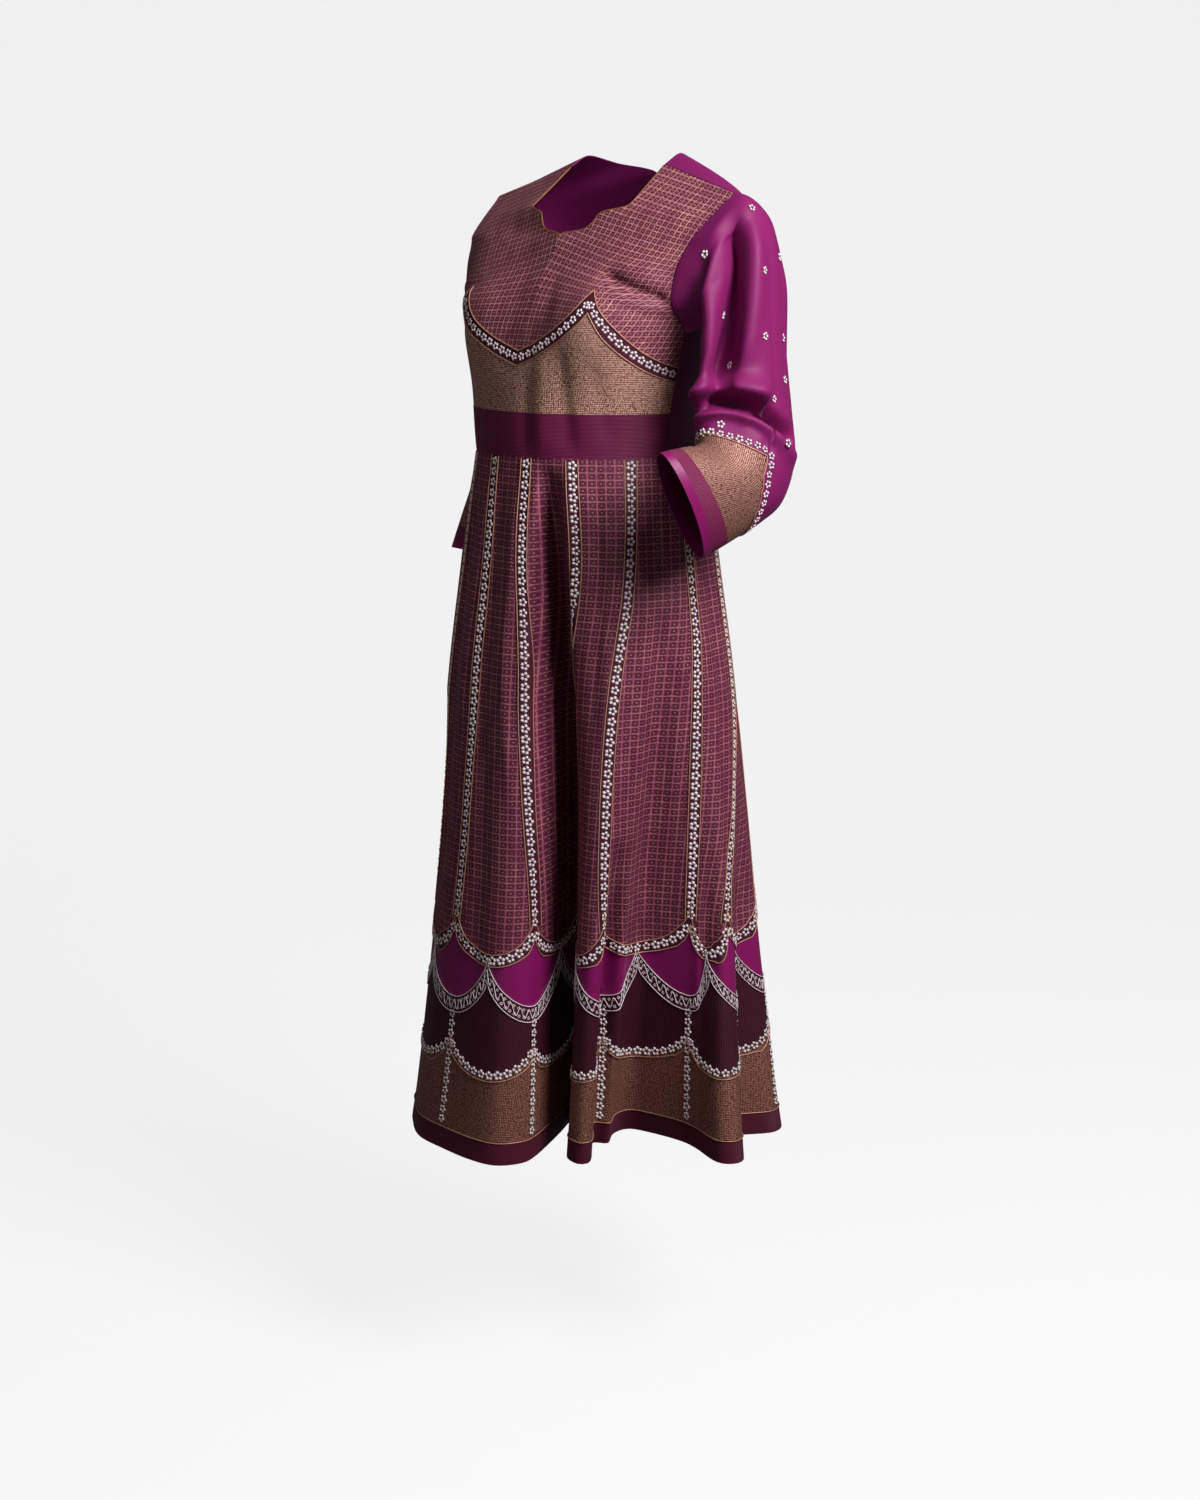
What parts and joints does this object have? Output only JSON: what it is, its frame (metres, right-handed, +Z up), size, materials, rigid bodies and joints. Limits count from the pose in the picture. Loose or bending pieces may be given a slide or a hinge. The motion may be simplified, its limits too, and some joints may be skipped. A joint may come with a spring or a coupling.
{
  "type": "long dress",
  "caption": "Long flared dress as worn: gored brocade skirt, panelled bodice with a waistband in front, long banded sleeves, one bent forward at the elbow.",
  "frame": {"origin": "middle of the neck opening at the height of the shoulder seams, where the wearer's shoulders hold the dress", "axes": "+Z up, the front of the dress faces -Y, the wearer's left is +X"},
  "size_m": [0.5396, 0.4513, 1.1893],
  "materials": {
    "brocade": "satin",
    "crepe": "satin",
    "satin": "satin",
    "wine": "satin",
    "bronze_brocade": "satin",
    "gold_cord": "satin"
  },
  "bodies": {
    "root": {"bodice_back": "crepe", "bodice_front_left": "brocade", "bodice_front_right": "brocade", "cuff_band_left": "wine", "cuff_band_right": "wine", "cuff_edge_left": "satin", "cuff_edge_right": "satin", "cuff_left": "bronze_brocade", "cuff_right": "bronze_brocade", "gore_01": "brocade", "gore_02": "brocade", "gore_03": "brocade", "gore_04": "brocade", "gore_05": "brocade", "gore_06": "brocade", "gore_07": "brocade", "gore_08": "brocade", "gore_09": "brocade", "gore_10": "brocade", "gore_11": "brocade", "gore_12": "brocade", "gore_13": "brocade", "gore_14": "brocade", "hem_band_back": "wine", "hem_band_front": "wine", "midriff_front_left": "bronze_brocade", "midriff_front_right": "bronze_brocade", "neck_cord": "gold_cord", "sleeve_left": "crepe", "sleeve_right": "crepe", "waistband_front": "wine"}
  },
  "joints": []
}
